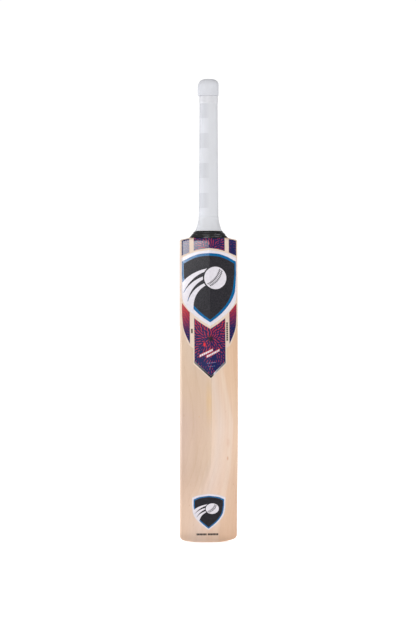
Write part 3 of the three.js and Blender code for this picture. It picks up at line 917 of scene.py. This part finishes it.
def film(name, x, low, high, lift, look, thick=0.1, row_step=2.5, replaces=None):
    """A printed film on the blade's back between its lower and upper edge, low and high, which
    hold a height for each x."""
    rows = max(3, int((high - low).max() / row_step))
    z = mix(low[None, :], high[None, :], np.linspace(0, 1, rows)[:, None])
    xs = np.broadcast_to(x[None, :], z.shape)
    points, faces = shell_parts(back_point(xs, z, lift + thick), back_point(xs, z, lift), False)
    new_object(name, make_mesh(name, points, faces), look, replaces)


def even_film(name, half, low, high, lift, look, thick=0.1, step=1.2, replaces=None):
    """A film that is alike on both sides of the ridge, between edges that bow() reads."""
    x = spread(-half, half, step)
    film(name, x, bow(x, low), bow(x, high), lift, look, thick, replaces=replaces)


def spread(low, high, step=1.3, through=(0.0,)):
    """Columns from low to high, with one exactly on each of the values in through."""
    stops = sorted({low, high, *[v for v in through if low < v < high]})
    parts = [np.linspace(a, b, max(2, int((b - a) / step) + 1))[:-1] for a, b in zip(stops, stops[1:])]
    return np.concatenate([*parts, [high]])


def bow(x, points):
    """A monotone cubic through a few given (x, z) points, taken at |x|."""
    xs, zs = np.array(points, float).T
    steps = np.diff(xs)
    slopes = np.diff(zs) / steps
    before, after = slopes[:-1], slopes[1:]
    middle = np.where(before * after > 0, 2 / (1 / (before + 1e-9) + 1 / (after + 1e-9)), 0.0)
    tangents = np.concatenate([[slopes[0]], middle, [slopes[-1]]])
    x = np.abs(x)
    k = np.clip(np.searchsorted(xs, x) - 1, 0, len(xs) - 2)
    t = np.clip((x - xs[k]) / steps[k], 0, 1)
    leave, arrive = tangents[k] * steps[k], tangents[k + 1] * steps[k]
    return (
        zs[k] * (1 + 2 * t) * (1 - t) ** 2 + leave * t * (1 - t) ** 2
        + zs[k + 1] * t**2 * (3 - 2 * t) + arrive * t**2 * (t - 1)
    )


# Edges of the printed films, by distance from the ridge and height.
SHIELD_TOP = [(0, 545.9), (29, 541.2), (51.5, 530.7)]
SHIELD_FOOT = [(0, 404.0), (19.1, 416.7), (35.4, 430.5), (44.8, 442.5), (50.6, 456.0), (51.5, 466.0)]
BLUE_TOP = [(0, 540.2), (16, 538.9), (32, 534.0), (50.7, 524.4)]
BLUE_FOOT = [
    (0, 411.0), (11, 418.4), (23.6, 429.0), (34.6, 441.4), (42.8, 454.0), (48.6, 469.5), (50.7, 500.0),
]
BLACK_TOP = [(0, 535.2), (16, 533.8), (32, 528.8), (47.7, 520.3)]
BLACK_FOOT = [(0, 416.0), (9.2, 422.6), (21.2, 433.4), (31, 444.3), (38.4, 456.6), (43.9, 472), (47.7, 502)]
STRIPES_END = [(0, 408.0), (14, 416.5), (28, 428.0), (39, 441.0), (46, 455.0), (50.4, 474.0), (51, 500.0)]
CENTRE_TIP = [(0, 312.0), (29, 339.5)]
CENTRE_NOTCH = [(0, 398.9), (14.5, 407.9), (29, 418.7)]
CENTRE_ARCH = [(0, 549.3), (14.5, 547.6), (29, 544.1)]
CENTRE_HEAD = [(0, 568.6), (29, 568.6)]
SIDE_TIP = [(37, 371.0), (42.5, 382.5), (47.3, 395), (50.2, 409), (51, 424)]
SIDE_NOTCH = [(37, 429.4), (44, 437.8), (51, 446.9)]
SIDE_ARCH = [(37, 541.2), (51, 535.2)]
SIDE_HEAD = [(37, 566.4), (46, 565.0), (51, 563.2)]
FOIL_FOOT = [(0, 307.6), (29.5, 335.5)]
FOIL_TOP = [(0, 311.8), (29.5, 339.9)]
BACKING_TIP = [(0, 305.6), (31, 333.5)]
BACKING_SIDE = [(31, 363.0), (39, 369.0), (44, 380.5), (48.6, 394), (51.4, 408), (52, 424)]
BACKING_TOP = [(0, 568.8), (36, 567.0), (44, 566.0), (52, 563.6)]

# How far the films lie off the wood.
BACKING_LIFT = 0.05
STRIP_LIFT = 0.14
SHIELD_LIFT = 0.2
INK = 0.03


def shield_layers(looks):
    even_film("shield_label_film", 51.5, SHIELD_FOOT, SHIELD_TOP, SHIELD_LIFT, looks["white"],
        replaces="shield_label")
    even_film("shield_blue_layer", 50.7, BLUE_FOOT, BLUE_TOP, SHIELD_LIFT + 0.1, looks["blue"],
        INK)
    even_film("shield_black_layer", 47.7, BLACK_FOOT, BLACK_TOP, SHIELD_LIFT + 0.16, looks["black"],
        INK)
    emblem("shield", 13.0, 438.0, 21.0, 1.0, SHIELD_LIFT + 0.22, looks, lambda x: bow(x, STRIPES_END))


def disc(name, x, z, radius, lift, look, squash=1.0):
    columns = x + radius * np.sin(np.linspace(-math.pi / 2, math.pi / 2, 61))
    if abs(x) < radius:
        columns = np.unique(np.append(columns, 0.0))
    half = np.sqrt(np.clip(radius**2 - (columns - x) ** 2, 0, None)) * squash
    film(name, columns, z - half, z + half, lift, look, INK)


def printed(name, grids, lift, look):
    """One printed piece made of several patches, each given as grids of x and z."""
    points, faces = [], []
    count = 0
    for x, z in grids:
        patch, patch_faces = shell_parts(back_point(x, z, lift + INK), back_point(x, z, lift), False)
        faces += [tuple(count + corner for corner in face) for face in patch_faces]
        points.append(patch)
        count += len(patch)
    new_object(name, make_mesh(name, np.concatenate(points), faces), look)


def dashes(name, boxes, lift, look, rise=0.0):
    """A group of printed dashes; boxes hold each one's left end, right end, foot and height."""
    grids = []
    for left, right, foot, height in boxes:
        x = spread(left, right, 1.0)
        z = foot + rise * (x - left)
        grids.append((np.stack([x, x]), np.stack([z, z + height])))
    printed(name, grids, lift, look)


def dash_row(left, right, count, gap, foot, height, rise=0.0):
    """Boxes of equal dashes that fill a row from left to right."""
    pitch = (right - left + gap) / count
    starts = left + pitch * np.arange(count)
    return [(x, x + pitch - gap, foot + rise * (x - left), height) for x in starts]


# The emblem's stripes, in shares of its ball's radius: middle line and half width at each end.
STRIPE_RADII = (3.48, 2.9, 2.32)
STRIPE_HALF = (0.11, 0.27)


def emblem(prefix, x0, z0, size, squash, lift, looks, foot):
    """A ball with a stitched seam and three stripes that trail from it into the shield's border.
    x0, z0 is the middle of the trail's circles and size the ball's radius."""
    def ink(part, grids, up, colour):
        printed(f"{prefix}_{part}", grids, lift + up, looks[colour])

    ball_x, ball_z = x0 - 0.1 * size, z0 + 2.65 * size * squash
    spreading = np.linspace(-1, 1, 7)
    for k, radius in enumerate(STRIPE_RADII):
        start = math.acos(-(x0 + 1) / (radius * size))
        along = np.linspace(start, math.radians(186), 200)
        ends = []
        for side in spreading:
            r = (radius + STRIPE_HALF[1] * side) * size
            past = z0 + r * np.sin(along) * squash < foot(x0 + r * np.cos(along))
            ends.append(along[past.argmax()] if past.any() else along[-1])
        share = np.linspace(0, 1, 90)[:, None]
        angle = start + (np.array(ends)[None, :] - start) * share
        r = (radius + mix(*STRIPE_HALF, ease(share)) * spreading[None, :]) * size
        stripe = (x0 + r * np.cos(angle), z0 + r * np.sin(angle) * squash)
        ink(f"stripe_{k + 1}", [stripe], 0, "white")
    disc(f"{prefix}_ball_gap", ball_x, ball_z, size * 1.12, lift + 0.06, looks["black"], squash)
    disc(f"{prefix}_ball", ball_x, ball_z, size, lift + 0.12, looks["white"], squash)

    def on_ball(along, side):
        """Places a grid along and beside the seam's chord on the ball."""
        bent = side + 0.28 * (1 - along**2) - 0.14
        return (
            ball_x + size * (along * 0.64 + bent * 0.77),
            ball_z + size * (along * 0.77 - bent * 0.64) * squash,
        )

    t = np.linspace(-0.88, 0.88, 60)[:, None]
    across = np.linspace(-0.025, 0.025, 3)[None, :]
    seams = [on_ball(t + 0 * across, across + side + 0 * t) for side in (-0.13, 0.13)]
    ink("seam", seams, 0.18, "black")
    stitch_side = np.linspace(-0.22, 0.22, 7)[:, None]
    stitch_along = np.linspace(-0.02, 0.02, 3)[None, :]
    stitches = [on_ball(t + stitch_along + 0 * stitch_side, stitch_side + 0 * stitch_along)
        for t in np.linspace(-0.82, 0.82, 13)]
    ink("stitches", stitches, 0.24, "black")


def lay_dashes(looks):
    """Plain dashes where a bat carries its small print."""
    rows = (("first", -19.5, 4.0, 346.6, 7), ("second", -7.0, 17.0, 345.6, 8))
    for name, left, right, foot, count in rows:
        outline = [(left - 1.1, right + 1.1, foot - 1.4, 5.9)]
        dashes(f"strip_dashes_{name}_outline", outline, 0.26, looks["red"], rise=0.5)
        row = dash_row(left, right, count, 0.7, foot, 3.7, 0.5)
        dashes(f"strip_dashes_{name}", row, 0.31, looks["white"], rise=0.5)
    fine = dash_row(-6.5, 9.5, 5, 1.0, 334.6, 0.9, 0.12) + dash_row(-4.0, 8.0, 4, 1.4, 328.4, 0.8, 0.12)
    dashes("strip_fine_dashes", fine, 0.27, looks["pale"], rise=0.12)
    dashes("left_column_dash", [(-34.6, -31.9, 390.9, 8.0)], 0.16, looks["ink"])
    column = [(31.0, 34.0, 376.9 + 3.85 * k, 3.2) for k in range(9)]
    dashes("right_column_dashes", column, 0.16, looks["ink"])
    row = dash_row(-23.2, -4.6, 7, 0.5, 13.3, 3.7) + dash_row(-2.2, 17.4, 7, 0.5, 13.3, 3.7)
    dashes("toe_dashes", row, 0.04, looks["ink"])


def lay_strips(looks):
    maze = looks["maze"]
    for part, low, high in (("lower", CENTRE_TIP, CENTRE_NOTCH), ("upper", CENTRE_ARCH, CENTRE_HEAD)):
        strip = f"centre_strip_{part}"
        even_film(f"{strip}_film", CENTRE_HALF, low, high, STRIP_LIFT, maze, step=1.3,
            replaces=strip)
    for name, side in (("left", -1), ("right", 1)):
        x = np.sort(side * spread(SIDE_INNER, SIDE_OUTER, 1.2))
        strip = f"side_strip_{name}"
        film(f"{strip}_lower_film", x, bow(x, SIDE_TIP), bow(x, SIDE_NOTCH), STRIP_LIFT, maze,
            replaces=f"{strip}_lower")
        film(f"{strip}_upper_film", x, bow(x, SIDE_ARCH), bow(x, SIDE_HEAD), STRIP_LIFT + 0.04, maze,
            row_step=1.0, replaces=f"{strip}_upper")
    even_film("foil_edge_film", CENTRE_HALF + 0.5, FOIL_FOOT, FOIL_TOP, STRIP_LIFT, looks["foil"],
        step=1.3, replaces="strip_foil_edge")


def lay_backing(looks):
    """The cream sheet, which steps up from the centre strip's tip to the side strips' tips."""
    inner = CENTRE_HALF + KEY_LINE
    right = spread(inner + 0.01, SIDE_OUTER + KEY_LINE / 2, 1.0, (39.0,))
    x = np.concatenate([-right[::-1], spread(-inner, inner, 1.3), right])
    low = np.where(np.abs(x) <= inner, bow(x, BACKING_TIP), bow(x, BACKING_SIDE))
    film("label_backing_film", x, low, bow(x, BACKING_TOP), BACKING_LIFT, looks["cream"],
        0.08, replaces="label_backing")


TOE_SHIELD_X = -0.8
TOE_SHIELD_UP = 1.8


def toe_shield_layers(looks):
    def edge(x, points):
        return bow(x, points) + TOE_SHIELD_UP

    def layer(name, half, top, foot, lift, look, thick=INK, replaces=None):
        x = spread(-half, half, 1.0)
        film(name, x + TOE_SHIELD_X, edge(x, foot), edge(x, top), lift, look, thick,
            replaces=replaces)

    layer("toe_shield_film", 31.2, [(0, 89.6), (18, 87.4), (31.2, 82.6)],
        [(0, 21.2), (14, 32.0), (24, 43.0), (29.6, 53.6), (31.2, 66.0)], 0.05, looks["white"], 0.1,
        "toe_shield_label")
    layer("toe_shield_blue_layer", 28.7, [(0, 86.4), (17, 84.1), (28.7, 79.4)],
        [(0, 23.8), (13, 34.4), (22, 44.9), (27.2, 55.6), (28.7, 68.0)], 0.15, looks["blue"])
    layer("toe_shield_black_layer", 26.5, [(0, 83.9), (16, 81.7), (26.5, 77.3)],
        [(0, 26.9), (12, 36.7), (20.2, 46.4), (25.1, 57.0), (26.5, 69.0)], 0.21, looks["black"])
    stripes_end = [(0, 22.5), (13.5, 33.2), (23, 44.0), (28.4, 54.6), (30.6, 66.0)]
    emblem("toe_shield", 7.6 + TOE_SHIELD_X, 35.5 + TOE_SHIELD_UP, 12.4, 0.8, 0.27, looks,
        lambda x: edge(x - TOE_SHIELD_X, stripes_end))


# ---- Build ----


def build_bat():
    make_blade(willow_look())
    cane, spring = cane_look(), spring_rubber_look()
    for name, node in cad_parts.items():
        if name.startswith("cane_strip"):
            paint(node, cane)
        if name.startswith("rubber_spring"):
            paint(node, spring)
    rubber = grip_look()
    make_grip(rubber)
    make_cap(cap_look())
    make_band(band_look())
    make_twine(twine_look())
    make_tape(tape_look())
    looks = {
        "cream": vinyl("label_cream", (217, 196, 179), (225, 205, 189), rough=0.3, gloss=0.3),
        "maze": maze_look(),
        "foil": foil_look(),
        "white": vinyl("print_white", (216, 211, 218), (227, 222, 229)),
        "blue": vinyl("print_blue", (0, 86, 138), (0, 102, 158)),
        "red": vinyl("print_red", (168, 36, 48), (192, 48, 56)),
        "pale": vinyl("print_pale", (116, 124, 166), (140, 146, 186)),
        "ink": vinyl("print_ink", (24, 22, 24), (42, 38, 38), rough=0.4, gloss=0.2),
        "black": vinyl("print_black", (16, 15, 20), (48, 46, 52), 0.3, 0.29, 0.16, 420.0),
    }
    lay_backing(looks)
    lay_strips(looks)
    shield_layers(looks)
    toe_black = vinyl("toe_print_black", (26, 25, 30), (40, 38, 44), rough=0.3, gloss=0.12)
    toe_white = vinyl("toe_print_white", (209, 204, 211), (219, 214, 221))
    toe_blue = vinyl("toe_print_blue", (0, 82, 134), (0, 98, 154))
    toe_shield_layers({"black": toe_black, "white": toe_white, "blue": toe_blue})
    lay_dashes(looks)


def paint(node, look):
    node.data.materials.clear()
    node.data.materials.append(look)


# ---- Studio ----

CAMERA_AZIMUTH = -5.5
CAMERA_DISTANCE = 4.0
VIEW_HEIGHT = 1.162
FRONT_LIGHT = 0.235
BACK_LIGHT = 0.98
BACKDROP = 1.05
FLOOR_HALF = 60.0
AIM = (-0.0028, -0.005, 0.4302)


def add_aimed(name, data, target, azimuth, elevation, distance):
    """An object that looks at target from a direction given in degrees."""
    a, e = math.radians(azimuth), math.radians(elevation)
    back = Vector((math.sin(a) * math.cos(e), -math.cos(a) * math.cos(e), math.sin(e)))
    made = add_object(name, data)
    made.location = Vector(target) + back * distance
    made.rotation_mode = "QUATERNION"
    made.rotation_quaternion = back.to_track_quat("Z", "Y")
    return made


def area_light(name, target, azimuth, elevation, distance, size, power, color=(1, 1, 1)):
    data = bpy.data.lights.new(name, "AREA")
    data.shape = "RECTANGLE"
    data.size, data.size_y = size
    data.energy = power
    data.color = color
    add_aimed(name, data, target, azimuth, elevation, distance)


def make_studio():
    mesh = bpy.data.meshes.new("floor")
    corners = [(x * FLOOR_HALF, y * FLOOR_HALF, 0) for x, y in ((-1, -1), (1, -1), (1, 1), (-1, 1))]
    mesh.from_pydata(corners, [], [(0, 1, 2, 3)])
    mesh.materials.append(floor_look())
    add_object("floor", mesh)

    bpy.context.scene.world = white_room()
    area_light("right", (0, 0, 0.35), 78, 5, 2.0, (1.0, 1.6), 5.3)
    area_light("top", (0, 0, 0.45), 20, 58, 2.4, (1.6, 1.2), 7.6)
    area_light("left_panel", (0, 0, 0.40), -66, 6, 2.2, (1.0, 1.6), 2.2)
    area_light("left_edge", (0, 0, 0.25), -115, 3, 1.2, (0.6, 0.8), 5.0, (0.93, 0.97, 1.10))
    area_light("right_edge", (0, 0, 0.2), 115, 3, 1.2, (0.6, 0.6), 1.6, (0.9, 0.97, 1.15))
    area_light("glare", (0, -0.02, 0.56), -14.5, 2.5, 2.2, (0.42, 0.54), 8)


def white_room():
    """Even white light that is weakest from the camera's side, with a pure white backdrop."""
    world = bpy.data.worlds.new("studio")
    world.use_nodes = True
    nodes = Nodes(world.node_tree)
    direction = nodes.add("TexCoord", "Generated")
    x, y = (nodes.add("SeparateXYZ", axis, {0: direction}) for axis in "XY")
    room = nodes.add("MapRange", "Result", {
        "Value": nodes.line(x, -0.6, y), "From Min": -1.05, "From Max": 0.7,
        "To Min": FRONT_LIGHT, "To Max": BACK_LIGHT,
    })
    seen = nodes.add("LightPath", "Is Camera Ray")
    background = nodes.tree.nodes["Background"].inputs
    nodes.feed(background["Strength"], nodes.between(seen, room, BACKDROP))
    nodes.feed(background["Color"], (1, 1, 1, 1))
    return world


def make_camera():
    data = bpy.data.cameras.new("camera")
    data.sensor_width = 36.0
    data.lens = data.sensor_width * CAMERA_DISTANCE / VIEW_HEIGHT
    data.clip_end = 200.0
    bpy.context.scene.camera = add_aimed("camera", data, AIM, CAMERA_AZIMUTH, 0, CAMERA_DISTANCE)


build_bat()
make_studio()
make_camera()
bpy.context.scene.view_settings.view_transform = "Standard"
